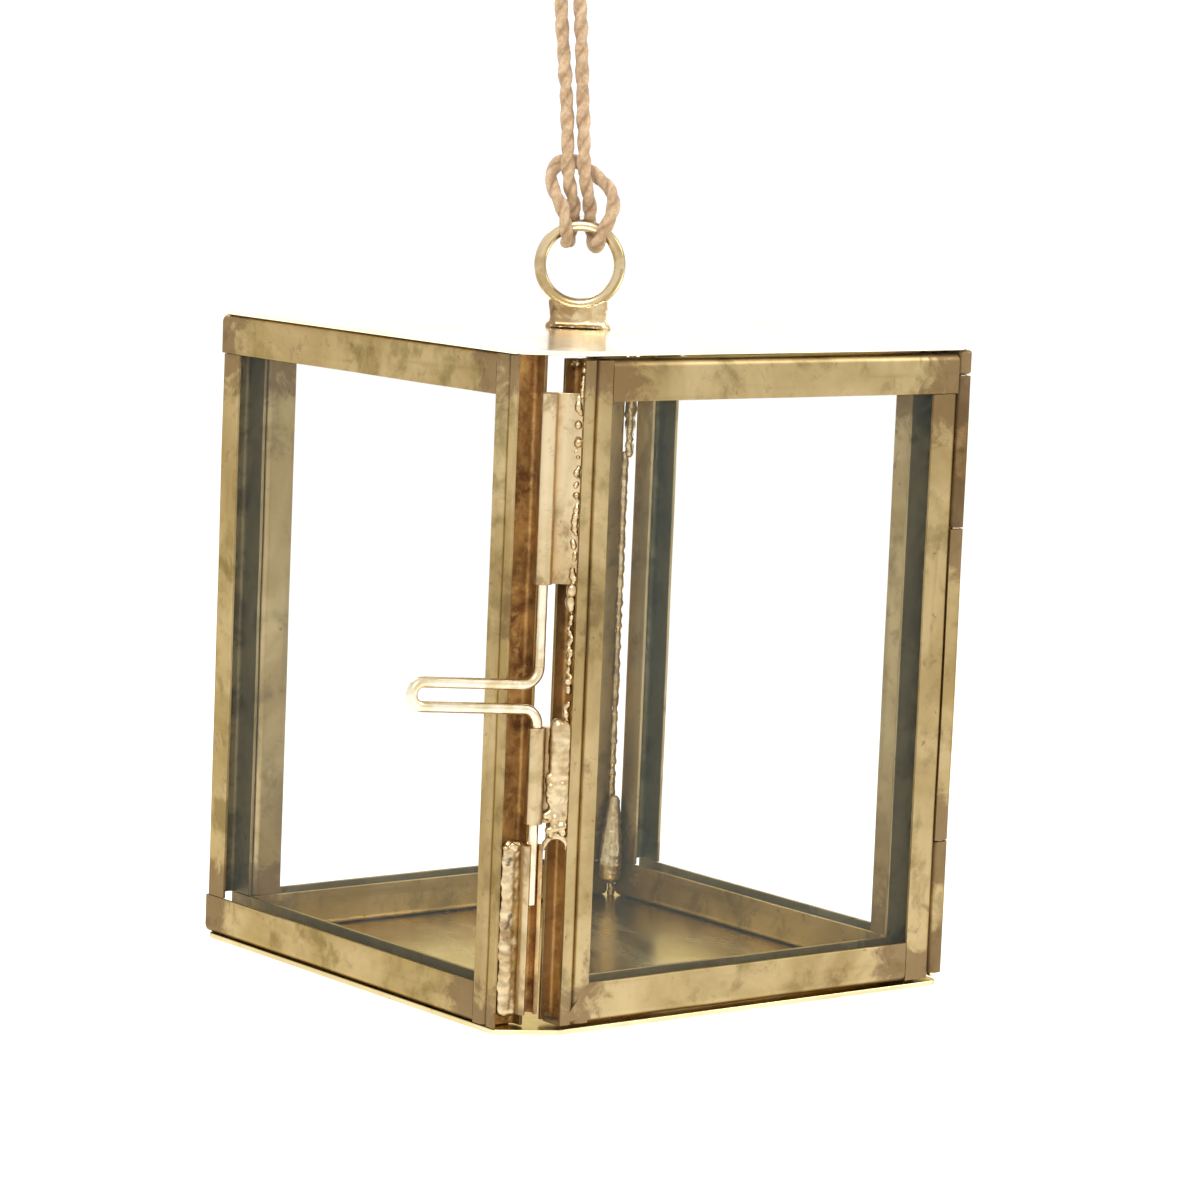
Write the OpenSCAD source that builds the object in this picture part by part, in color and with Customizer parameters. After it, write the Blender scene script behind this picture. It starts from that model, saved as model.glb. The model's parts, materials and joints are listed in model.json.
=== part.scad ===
// Small hanging lantern: a glazed brass box with a hinged door, hung by a jute cord.
// The origin is the centre of the hanging ring's eye. +Z is up, and -Y is the door side.

/* [Body] */
// Width of the lantern across the door
body_w = 80; // [70:1:100]
// Depth of the lantern from the door to the back
body_d = 79.2; // [70:0.1:100]
// Height from the top of the roof plate to the underside of the floor plate
body_h = 96; // [85:1:130]
// Thickness of the roof and floor plates
plate_t = 0.8; // [0.5:0.1:1]
// Corner radius of the roof and floor plates
plate_r = 2; // [1:0.5:4]
// How far the ring stands to the left of the roof's centre
ring_offset = 3.5; // [0:0.5:4]
// How far the ring stands in front of the roof's centre
ring_forward = 0.5; // [0:0.5:3]

/* [Glazed frames] */
// Thickness of the folded brass sheet
sheet_t = 0.5; // [0.4:0.1:0.6]
// Width of the horizontal strips on the face
rail_w = 5.8; // [5:0.1:7]
// Width of the upright strips on the face
stile_w = 4.8; // [4.4:0.1:6]
// Depth of the fixed frames, from the outer face inwards
frame_depth = 5.4; // [5:0.1:5.8]
// Thickness of the glass
glass_t = 2; // [1.8:0.1:2.6]
// Distance from the front face to the left frame's free edge
left_setback = 4.7; // [4.5:0.1:5]

/* [Door] */
// Depth of the door frame, from the outer face inwards
door_depth = 5.4; // [5:0.1:5.8]
// Distance from the left face to the door's free edge
door_setback = 8.5; // [8.4:0.1:9.4]
// Gap between the roof plate and the top of the door
door_top_gap = 0.5; // [0.3:0.1:1]
// Gap between the floor plate and the bottom of the door
door_bottom_gap = 0.4; // [0.3:0.1:0.8]

/* [Hinge] */
// Outer diameter of the hinge knuckles
hinge_od = 2.8; // [2.6:0.1:3]
// Diameter of the hinge pin
hinge_pin_d = 1.6; // [1.4:0.1:1.7]
// Distance from the right face to the hinge axis
hinge_inset = 0.6; // [0.5:0.1:0.8]
// Distance from the front face to the hinge axis
hinge_setback = 1.6; // [1.5:0.1:1.7]

/* [Latch] */
// Diameter of the latch wire
wire_d = 1.6; // [1.4:0.1:1.7]
// Outer diameter of the latch knuckles
knuckle_od = 2.6; // [2.5:0.1:2.8]
// Reach of the hairpin handle from its axis
handle_reach = 21; // [16:0.5:24]
// Half of the distance between the handle's two legs
handle_leg = 1.7; // [1.4:0.05:1.9]
// Upward tilt of the handle in degrees
handle_tilt = 4; // [0:0.5:5]

/* [Ring and cord] */
// Outer diameter of the hanging ring
ring_od = 13.5; // [12:0.5:16]
// Diameter of the ring's wire
ring_wire_d = 1.8; // [1.6:0.1:2]
// Height of the ring's centre above the roof plate
ring_rise = 9.2; // [8.5:0.1:9.5]
// Turn of the ring's plane about the vertical, in degrees
ring_turn = -38; // [-60:1:60]
// Diameter of the cord
cord_d = 2.1; // [2:0.1:2.1]

/* [Hidden] */
$fn = 48;
fit_gap = 0.05; // running clearance on a radius

// heights of the parts of the latch and the hinge, below the top of the roof plate
upper_knuckle_z = [-32.5, -5.9];
lower_knuckle_z = [-66.1, -52.5];
keeper_z = [-93.1, -69];
handle_z = -48.1;
handle_bend = 2.4;
shank_top_z = -18;
shank_bottom_z = -77.5;
cap_z = [-4.4, -plate_t];
upper_hinge_z = [-27.1, -4.6];
door_hinge_z = [-74, -27.3];
lower_hinge_z = [-94.2, -74.2];
hinge_pin_z = [-94.8, cap_z[0]];
rear_slot_z = [-79, -24];

left_x = -body_w / 2;
right_x = body_w / 2;
front_y = -body_d / 2;
back_y = body_d / 2;
frame_h = body_h - 2 * plate_t;
door_h = frame_h - door_top_gap - door_bottom_gap;
door_z = -body_h + plate_t + door_bottom_gap;
rear_notch = 6.1;
side_gap = 0.3; // between the door and the right frame behind it
side_start = front_y + door_depth + side_gap;

latch_x = left_x + 4.6;
latch_y = front_y + 3.1;
latch_angle = 174.5;
hinge_x = right_x - hinge_inset;
hinge_y = front_y + hinge_setback;
door_right = hinge_x - hinge_od / 2 - side_gap;
door_left = left_x + door_setback;
door_w = door_right - door_left;
leaf_t = 0.5;
hinge_leaf = 8.5;
latch_leaf = 5;
latch_leaf_angle = -40;
keeper_od = 3.2;
keeper_slot = 1.9;
bend_z = (handle_leg + handle_bend) / cos(handle_tilt);
bend_step = 10;
wire_sides = 16;

// points along the hairpin, out from the axis and back, in its own upright plane
function on_arc(cx, cz, r, a) = [cx + r * cos(a), 0, cz + r * sin(a)];
leg_turn = 90 - handle_tilt;
tip_out = handle_reach - handle_leg - wire_d / 2;
tip_x = tip_out * cos(handle_tilt);
tip_z = tip_out * sin(handle_tilt) - handle_bend * sin(handle_tilt);
hairpin = concat(
    [[0, 0, bend_z], [0, 0, bend_z - 0.1]],
    [for (a = [190 : bend_step : 270]) on_arc(handle_bend, bend_z, handle_bend, a)],
    [for (a = [90 + handle_tilt : -2 * bend_step : -90])
        on_arc(tip_x, tip_z, handle_leg, a)],
    [for (a = [90 : bend_step : 170]) on_arc(handle_bend, -bend_z, handle_bend, a)],
    [[0, 0, 0.1 - bend_z], [0, 0, -bend_z]]
);

left_w = body_d - left_setback;
back_w = body_w - frame_depth - rear_notch;
right_w = back_y - rear_notch - side_start;

// The cord is one loop: down from the knot, round the ring in a lark's head, and up again.
// Each point is [across the ring, out of the ring's face, up] from the ring's centre.
cord_route = [
    [-4.3, 0.2, 44.1], [-4.4, 0.3, 41], [-4.1, 0.5, 36], [-3.5, 0.6, 30], [-2.9, 0.8, 24],
    [-2.5, 1.1, 18], [-2.3, 1.2, 14], [-1.7, 0.8, 10.5], [-1.3, -0.9, 8.5], [-1.3, -2.2, 6.4],
    [-1.6, -1.7, 4.2], [-1.9, 0, 3.3], [-2.1, 1.7, 4.1], [-2.3, 2.4, 6], [-3.0, 2.4, 8.6],
    [-4.3, 1.6, 11], [-4.7, 0.2, 13.2], [-3.5, -1.2, 15], [-1.6, -1.6, 15.2], [0.4, -1.5, 14.2],
    [2.3, -0.8, 12.8], [3.9, 0.6, 11.4], [4.6, 1.7, 9.4], [4.2, 2.4, 7.2], [3.2, 2.3, 5],
    [2.5, 1.3, 3.2], [2.1, -0.4, 2.9], [1.6, -1.9, 4.2], [1.2, -2.2, 6.2], [1.1, -0.9, 8.5],
    [0.7, 0.7, 10.7], [0.1, 1.2, 14], [-0.1, 1.1, 18], [-0.5, 0.8, 24], [-0.9, 0.6, 30],
    [-1.3, 0.5, 36], [-1.8, 0.3, 41], [-2.0, 0.2, 44.1]
];
cord_steps = 2;
cord_sides = 8;
knot_foot = [-3.15, 0.2, 44.2];
knot_r = 3.9;
knot_h = 7;
tail_h = 8;

// ---- frames of reference ----

// puts the body under the ring, with z = 0 at the top of the roof plate
module in_body() {
    translate([ring_offset, ring_forward, -ring_rise]) children();
}

// A frame is drawn as seen from outside: x runs left to right, y inwards and z up.
module on_left() {
    in_body() translate([left_x, back_y, -body_h + plate_t]) rotate([0, 0, -90]) children();
}

module on_back() {
    in_body() translate([left_x + frame_depth + back_w, back_y, -body_h + plate_t])
        rotate([0, 0, 180]) children();
}

module on_right() {
    in_body() translate([right_x, side_start, -body_h + plate_t]) rotate([0, 0, 90]) children();
}

module on_door() {
    in_body() translate([door_left, front_y, door_z]) children();
}

// ---- brass channel ----

// section of an upright: pane_side is 1 for a groove on the right, -1 on the left, 0 on both
module stile_section(deep, pane_side) {
    groove = deep - 2 * sheet_t;
    side = (stile_w - sheet_t) / 2;
    difference() {
        square([stile_w, deep]);
        if (pane_side == 1) translate([sheet_t, sheet_t]) square([stile_w, groove]);
        if (pane_side == -1) translate([-sheet_t, sheet_t]) square([stile_w, groove]);
        if (pane_side == 0) {
            translate([-1, sheet_t]) square([side + 1, groove]);
            translate([stile_w - side, sheet_t]) square([side + 1, groove]);
        }
    }
}

module stile(x, z0, z1, deep, pane_side) {
    translate([x, 0, z0]) linear_extrude(z1 - z0) stile_section(deep, pane_side);
}

// a horizontal channel from x0 to x1, with its groove facing up or down
module rail(x0, x1, z, deep, groove_up) {
    translate([x0, 0, z]) rotate([90, 0, 90]) linear_extrude(x1 - x0) difference() {
        square([deep, rail_w]);
        translate([sheet_t, groove_up ? sheet_t : -sheet_t])
            square([deep - 2 * sheet_t, rail_w]);
    }
}

// a pane that reaches into the grooves; the two insets are its left and right edges
module pane(width, height, left_inset, right_inset) {
    translate([left_inset, sheet_t, 1.2])
        cube([width - left_inset - right_inset, glass_t, height - 2.4]);
}

u_inset = sheet_t + 0.7;
h_inset = (stile_w + sheet_t) / 2 + 0.3;

// ---- round bar swept along a line of points ----

function unit(v) = v / norm(v);
function heading(line, i) = unit(line[min(i + 1, len(line) - 1)] - line[max(i - 1, 0)]);

// each ring's first side is carried along from the ring before, so the bar never twists
function side_dirs(line, i, previous) =
    let (h = heading(line, i), s = unit(previous - h * (previous * h)))
    i == len(line) - 1 ? [s] : concat([s], side_dirs(line, i + 1, s));

function bar_points(line, d, n, first) =
    let (dirs = side_dirs(line, 0, first))
    [
        for (i = [0 : len(line) - 1], k = [0 : n - 1])
            let (a = 360 * k / n, s = dirs[i], b = cross(heading(line, i), s))
            line[i] + d / 2 * (cos(a) * s + sin(a) * b)
    ];

function bar_faces(count, n) = concat(
    [[for (k = [0 : n - 1]) k]],
    [
        for (i = [0 : count - 2], k = [0 : n - 1])
            let (m = (k + 1) % n)
            [i * n + k, (i + 1) * n + k, (i + 1) * n + m, i * n + m]
    ],
    [[for (k = [n - 1 : -1 : 0]) (count - 1) * n + k]]
);

module swept(line, d, n, first) {
    polyhedron(bar_points(line, d, n, first), bar_faces(len(line), n), convexity = 10);
}

// ---- plates, ring and solder ----

module roof_plate() {
    color("khaki") in_body() translate([0, 0, -plate_t]) plate_solid();
}

module floor_plate() {
    color("darkkhaki") in_body() translate([0, 0, -body_h]) plate_solid();
}

// a rectangle with round corners, cut back over the latch
module plate_solid() {
    linear_extrude(plate_t) difference() {
        union() {
            translate([left_x + plate_r, front_y]) square([body_w - 2 * plate_r, body_d]);
            translate([left_x, front_y + plate_r]) square([body_w, body_d - 2 * plate_r]);
            for (x = [left_x + plate_r, right_x - plate_r], y = [front_y + plate_r, back_y - plate_r])
                translate([x, y]) circle(plate_r);
        }
        translate([left_x, front_y]) polygon([
            [-1, -1], [-1, left_setback], [0, left_setback], [door_setback, 0], [door_setback, -1]
        ]);
    }
}

module hanging_ring() {
    color("goldenrod") rotate([90, 0, ring_turn])
        rotate_extrude($fn = 72) translate([(ring_od - ring_wire_d) / 2, 0]) circle(ring_wire_d / 2);
}

// the solder foot that stands the ring on the roof
module ring_solder() {
    foot_h = ring_rise - ring_od / 2 + ring_wire_d * 0.75;
    color("silver") difference() {
        translate([0, 0, -ring_rise]) rotate([0, 0, ring_turn]) {
            linear_extrude(foot_h) stadium(7.4, 2.8);
            linear_extrude(0.7) stadium(9.2, 4.6);
        }
        rotate([90, 0, ring_turn])
            rotate_extrude($fn = 72) translate([(ring_od - ring_wire_d) / 2, 0])
                circle(ring_wire_d / 2);
    }
}

module stadium(length, width) {
    union() {
        square([length - width, width], center = true);
        for (s = [-1, 1]) translate([s * (length - width) / 2, 0]) circle(width / 2);
    }
}

// ---- left frame ----

module left_top_rail() {
    color("tan") on_left() rail(0, left_w - stile_w, frame_h - rail_w, frame_depth, false);
}

module left_bottom_rail() {
    color("tan") on_left() rail(0, left_w - stile_w, 0, frame_depth, true);
}

module left_rear_stile() {
    color("burlywood") on_left() stile(0, rail_w, frame_h - rail_w, frame_depth, 1);
}

module left_front_stile() {
    color("burlywood") on_left() stile(left_w - stile_w, 0, frame_h, frame_depth, 0);
}

module left_glass() {
    color("lightcyan", 0.4) on_left() pane(left_w, frame_h, u_inset, h_inset);
}

// ---- back frame ----

module back_top_rail() {
    color("tan") on_back() rail(0, back_w, frame_h - rail_w, frame_depth, false);
}

module back_bottom_rail() {
    color("tan") on_back() rail(0, back_w, 0, frame_depth, true);
}

module back_right_stile() {
    color("burlywood") on_back() stile(0, rail_w, frame_h - rail_w, frame_depth, 1);
}

module back_left_stile() {
    color("burlywood") on_back() stile(back_w - stile_w, rail_w, frame_h - rail_w, frame_depth, -1);
}

module back_glass() {
    color("lightcyan", 0.4) on_back() pane(back_w, frame_h, u_inset, u_inset);
}

// ---- right frame ----

module right_top_rail() {
    color("tan") on_right() rail(0, right_w, frame_h - rail_w, frame_depth, false);
}

module right_bottom_rail() {
    color("tan") on_right() rail(0, right_w, 0, frame_depth, true);
}

module right_front_stile() {
    color("burlywood") on_right() stile(0, rail_w, frame_h - rail_w, frame_depth, 1);
}

module right_rear_stile() {
    color("burlywood") on_right()
        stile(right_w - stile_w, rail_w, frame_h - rail_w, frame_depth, -1);
}

module right_glass() {
    color("lightcyan", 0.4) on_right() pane(right_w, frame_h, u_inset, u_inset);
}

// ---- rear corner: an open notch, with solder above and below a long slot ----

module corner_fillet(z0, z1) {
    fillet = 2.5;
    inner = rear_notch - frame_depth;
    in_body() translate([right_x - rear_notch, back_y - rear_notch, z0])
        linear_extrude(z1 - z0)
            polygon([[0, inner], [inner, 0], [fillet, 0], [0, fillet]]);
}

module rear_solder_upper() {
    color("silver") corner_fillet(rear_slot_z[1], -plate_t);
}

module rear_solder_lower() {
    color("silver") corner_fillet(-body_h + plate_t, rear_slot_z[0]);
}

// ---- hinge ----

module tube(z, od, id) {
    translate([0, 0, z[0]]) difference() {
        cylinder(d = od, h = z[1] - z[0]);
        translate([0, 0, -1]) cylinder(d = id, h = z[1] - z[0] + 2);
    }
}

// a knuckle whose leaf lies on the outside of the right frame
module fixed_hinge_knuckle(z) {
    leaf_x = right_x - hinge_x;
    id = hinge_pin_d + 2 * fit_gap;
    in_body() translate([hinge_x, hinge_y, 0]) difference() {
        union() {
            translate([0, 0, z[0]]) cylinder(d = hinge_od, h = z[1] - z[0]);
            translate([leaf_x, 0, z[0]]) cube([hinge_od / 2 - leaf_x, hinge_leaf, z[1] - z[0]]);
        }
        translate([0, 0, z[0] - 1]) cylinder(d = id, h = z[1] - z[0] + 2);
    }
}

module hinge_knuckle_upper() {
    color("sienna") fixed_hinge_knuckle(upper_hinge_z);
}

module hinge_knuckle_lower() {
    color("sienna") fixed_hinge_knuckle(lower_hinge_z);
}

module hinge_pin() {
    color("gold") in_body() translate([hinge_x, hinge_y, hinge_pin_z[0]])
        cylinder(d = hinge_pin_d, h = hinge_pin_z[1] - hinge_pin_z[0]);
}

// the round-cornered block under the roof that ties the pin's top to the right frame
module corner_cap() {
    h = cap_z[1] - cap_z[0];
    reach = side_start - hinge_y;
    color("tan") in_body() translate([hinge_x, hinge_y, cap_z[0]]) {
        cylinder(d = hinge_od, h = h);
        translate([-1, 0, 0]) cube([1 + hinge_od / 2, reach, h]);
    }
}

module door_hinge_knuckle() {
    z = door_hinge_z;
    id = hinge_pin_d + 2 * fit_gap;
    reach = hinge_x - door_right;
    color("peru") in_body() translate([hinge_x, hinge_y, 0]) difference() {
        union() {
            translate([0, 0, z[0]]) cylinder(d = hinge_od, h = z[1] - z[0]);
            translate([-reach, -hinge_od / 2, z[0]]) cube([reach, leaf_t, z[1] - z[0]]);
        }
        translate([0, 0, z[0] - 1]) cylinder(d = id, h = z[1] - z[0] + 2);
    }
}

// ---- door ----

// the mitre at the foot of the latch stile, as a wedge that the rail keeps
module mitre_wedge() {
    translate([0, -1, 0]) rotate([90, 0, 0]) mirror([0, 0, 1]) linear_extrude(door_depth + 2)
        polygon([[-1, -rail_w / stile_w], [-1, -2], [stile_w + 1, -2],
                 [stile_w + 1, (stile_w + 1) * rail_w / stile_w]]);
}

module door_top_rail() {
    color("tan") on_door() rail(stile_w, door_w, door_h - rail_w, door_depth, false);
}

module door_bottom_rail() {
    color("tan") on_door() intersection() {
        rail(0, door_w - stile_w, 0, door_depth, true);
        union() {
            mitre_wedge();
            translate([stile_w, -1, -1]) cube([door_w, door_depth + 2, rail_w + 2]);
        }
    }
}

module door_hinge_stile() {
    color("burlywood") on_door()
        stile(door_w - stile_w, 0, door_h - rail_w, door_depth, -1);
}

module door_latch_stile() {
    color("burlywood") on_door() difference() {
        stile(0, 0, door_h, door_depth, 0);
        mitre_wedge();
    }
}

module door_glass() {
    color("lightcyan", 0.4) on_door() pane(door_w, door_h, h_inset, u_inset);
}

// ---- latch ----

module on_latch() {
    in_body() translate([latch_x, latch_y, 0]) children();
}

// a rolled knuckle whose leaf slants across to the front lip of the latch stile
module latch_knuckle(z) {
    id = wire_d + 2 * fit_gap;
    on_latch() rotate([0, 0, latch_leaf_angle]) difference() {
        union() {
            translate([0, 0, z[0]]) cylinder(d = knuckle_od, h = z[1] - z[0]);
            translate([0, knuckle_od / 2 - leaf_t, z[0]]) cube([latch_leaf, leaf_t, z[1] - z[0]]);
        }
        translate([0, 0, z[0] - 1]) cylinder(d = id, h = z[1] - z[0] + 2);
    }
}

module latch_knuckle_upper() {
    color("peru") latch_knuckle(upper_knuckle_z);
}

module latch_knuckle_lower() {
    color("peru") latch_knuckle(lower_knuckle_z);
}

// the straight ends of the latch wire, above and below the handle
module latch_shank() {
    top = handle_z + bend_z;
    bottom = handle_z - bend_z;
    color("lemonchiffon") on_latch() {
        translate([0, 0, top]) cylinder(d = wire_d, h = shank_top_z - top);
        translate([0, 0, shank_bottom_z]) cylinder(d = wire_d, h = bottom - shank_bottom_z);
    }
}

// the hairpin: a bend off the axis, a leg, the closed end, and the same way back
module latch_handle() {
    color("lemonchiffon") on_latch() translate([0, 0, handle_z]) rotate([0, 0, latch_angle])
        swept(hairpin, wire_d, wire_sides, [0, 1, 0]);
}

// a rolled keeper, open at the front, that the wire's lower end springs into
module latch_keeper() {
    h = keeper_z[1] - keeper_z[0];
    color("sienna") on_latch() translate([0, 0, keeper_z[0]]) difference() {
        cylinder(d = keeper_od, h = h);
        translate([0, 0, -1]) cylinder(d = keeper_slot, h = h + 2);
        translate([-keeper_slot / 2, -keeper_od, -1]) cube([keeper_slot, keeper_od, h + 2]);
    }
}

// the solder that beds the keeper in the groove of the left frame's front stile
module keeper_saddle() {
    h = keeper_z[1] - keeper_z[0] - 1;
    x0 = left_x + sheet_t;
    x1 = left_x + frame_depth - sheet_t;
    y0 = front_y + left_setback;
    color("silver") in_body() difference() {
        union() {
            translate([x0, y0, keeper_z[0] + 0.5]) cube([x1 - x0, 2, h]);
            translate([x0, y0 - 1, keeper_z[0] + 0.5]) cube([latch_x - x0, 1, h]);
        }
        translate([latch_x, latch_y, keeper_z[0] - 1]) cylinder(d = keeper_od, h = h + 4);
    }
}

// ---- cord ----

// turns a route point into a place in the lantern's frame
function placed(p) = [
    p[0] * cos(ring_turn) + p[1] * sin(ring_turn),
    p[0] * sin(ring_turn) - p[1] * cos(ring_turn),
    p[2]
];

route = [for (p = cord_route) placed(p)];
last = len(route) - 1;

function route_point(i) = route[min(max(i, 0), last)];

// a smooth curve through the route's points
function smooth(i, t) =
    let (a = route_point(i - 1), b = route_point(i))
    let (c = route_point(i + 1), d = route_point(i + 2))
    0.5 * (2 * b + (c - a) * t + (2 * a - 5 * b + 4 * c - d) * t * t
        + (3 * b - a - 3 * c + d) * t * t * t);

cord_line = concat(
    [for (i = [0 : last - 1], k = [0 : cord_steps - 1]) smooth(i, k / cord_steps)],
    [route[last]]
);

module hanging_cord() {
    color("wheat") swept(cord_line, cord_d, cord_sides, placed([0, 1, 0.1]));
}

// the overhand knot that joins the loop's two ends, with its two tails
module cord_knot() {
    waist = knot_r - 1.2;
    color("wheat") translate(placed(knot_foot)) rotate([0, 0, ring_turn]) {
        rotate_extrude() polygon([
            [0, 0], [waist, 0], [knot_r - 0.2, knot_h / 4], [knot_r, knot_h / 2],
            [knot_r - 0.2, 3 * knot_h / 4], [waist, knot_h], [0, knot_h]
        ]);
        for (s = [-1, 1]) translate([s * 1.3, 0, knot_h - 1]) cylinder(d = cord_d, h = tail_h);
    }
}

roof_plate();
floor_plate();
hanging_ring();
ring_solder();
left_top_rail();
left_bottom_rail();
left_rear_stile();
left_front_stile();
left_glass();
back_top_rail();
back_bottom_rail();
back_left_stile();
back_right_stile();
back_glass();
right_top_rail();
right_bottom_rail();
right_front_stile();
right_rear_stile();
right_glass();
rear_solder_upper();
rear_solder_lower();
hinge_knuckle_upper();
hinge_knuckle_lower();
hinge_pin();
corner_cap();
latch_keeper();
keeper_saddle();
door_top_rail();
door_bottom_rail();
door_hinge_stile();
door_latch_stile();
door_glass();
door_hinge_knuckle();
latch_knuckle_upper();
latch_knuckle_lower();
latch_shank();
latch_handle();
hanging_cord();
cord_knot();
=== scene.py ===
"""Small hanging lantern in tarnished brass and glass: the looks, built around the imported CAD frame.

Everything is in metres in the CAD frame, whose origin is the centre of the hanging ring's eye.
"""

import json
import math
import random

import bmesh
import bpy
from mathutils import Matrix, Vector, noise


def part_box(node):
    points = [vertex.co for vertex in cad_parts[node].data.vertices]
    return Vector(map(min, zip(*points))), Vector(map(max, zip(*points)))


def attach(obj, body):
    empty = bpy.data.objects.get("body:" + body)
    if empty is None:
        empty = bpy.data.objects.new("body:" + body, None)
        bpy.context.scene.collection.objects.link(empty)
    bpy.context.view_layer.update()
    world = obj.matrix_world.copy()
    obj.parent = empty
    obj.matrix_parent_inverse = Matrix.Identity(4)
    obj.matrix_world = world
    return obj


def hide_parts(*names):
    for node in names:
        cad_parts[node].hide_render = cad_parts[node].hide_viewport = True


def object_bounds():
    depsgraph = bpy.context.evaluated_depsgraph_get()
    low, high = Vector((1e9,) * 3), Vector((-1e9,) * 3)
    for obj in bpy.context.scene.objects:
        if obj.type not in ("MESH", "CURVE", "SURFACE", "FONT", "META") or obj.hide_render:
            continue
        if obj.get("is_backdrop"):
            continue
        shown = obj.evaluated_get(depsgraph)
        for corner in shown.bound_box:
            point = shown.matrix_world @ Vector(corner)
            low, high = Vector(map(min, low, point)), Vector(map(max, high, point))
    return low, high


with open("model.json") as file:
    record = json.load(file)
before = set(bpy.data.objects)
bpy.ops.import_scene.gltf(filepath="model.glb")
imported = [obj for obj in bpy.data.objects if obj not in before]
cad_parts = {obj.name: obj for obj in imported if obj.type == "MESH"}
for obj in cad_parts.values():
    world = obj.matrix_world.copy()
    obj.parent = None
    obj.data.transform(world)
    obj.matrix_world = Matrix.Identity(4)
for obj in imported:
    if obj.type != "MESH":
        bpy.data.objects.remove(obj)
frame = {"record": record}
CAD_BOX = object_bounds()

MM = 0.001
NOISE_SEED = 1
noise.seed_set(NOISE_SEED)  # the sheets have the same small dents at each run
RECORD = frame["record"]
BODY_OF = {n: b for b, members in RECORD["behaviour"]["bodies"].items() for n in members}
SLOT_OF = {s["node"]: s["material_slot"] for s in RECORD["subparts"]}
ROOT = BODY_OF["roof_plate"]
DOOR = BODY_OF["door_glass"]

X, Y, Z = Vector((1, 0, 0)), Vector((0, 1, 0)), Vector((0, 0, 1))
SHEET = 0.5 * MM
SKIN = 0.1 * MM  # how far the uneven surfaces stay inside the CAD's flat ones
RING_TURN = math.radians(-38)

roof_lo, roof_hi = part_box("roof_plate")
CENTRE = Vector(((roof_lo[0] + roof_hi[0]) / 2, (roof_lo[1] + roof_hi[1]) / 2, roof_hi[2]))


def at(x, y, z):
    """A point given in millimetres from the middle of the roof's top."""
    return CENTRE + Vector((x, y, z)) * MM


def placed(p):
    """A point given across the ring, out of its face and up, from the ring's centre."""
    c, s = math.cos(RING_TURN), math.sin(RING_TURN)
    return Vector((p[0] * c + p[1] * s, p[0] * s - p[1] * c, p[2]))


# ---- camera ----


CAMERA_AZIMUTH = math.radians(-37.67)
CAMERA_ELEVATION = math.radians(8.19)
CAMERA_ROLL = math.radians(2.34)
CAMERA_DISTANCE = 0.6606
CAMERA_PIVOT = at(0, 0, -50)
CAMERA_AIM = at(2.0, -1.55, -40.9)
LENS_MM = 132.1
SENSOR_MM = 36


def make_camera():
    """The lantern from a little above its latch corner, through a long lens, slightly rolled."""
    level = math.cos(CAMERA_ELEVATION)
    back = Vector((
        math.sin(CAMERA_AZIMUTH) * level,
        -math.cos(CAMERA_AZIMUTH) * level,
        math.sin(CAMERA_ELEVATION),
    ))
    eye = CAMERA_PIVOT + back * CAMERA_DISTANCE
    camera = bpy.data.cameras.new("camera")
    camera.lens = LENS_MM
    camera.sensor_width = SENSOR_MM
    camera.clip_start = 0.01
    camera.clip_end = 50
    obj = bpy.data.objects.new("camera", camera)
    turn = (CAMERA_AIM - eye).to_track_quat("-Z", "Y").to_matrix().to_4x4()
    obj.matrix_world = Matrix.Translation(eye) @ turn @ Matrix.Rotation(CAMERA_ROLL, 4, "Z")
    bpy.context.scene.collection.objects.link(obj)
    bpy.context.scene.camera = obj


make_camera()


# ---- node helpers ----


def linear(r, g, b):
    """A 0-255 display colour as linear light."""
    return tuple(((c / 255 + 0.055) / 1.055) ** 2.4 if c > 10 else c / 3294 for c in (r, g, b))


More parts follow.
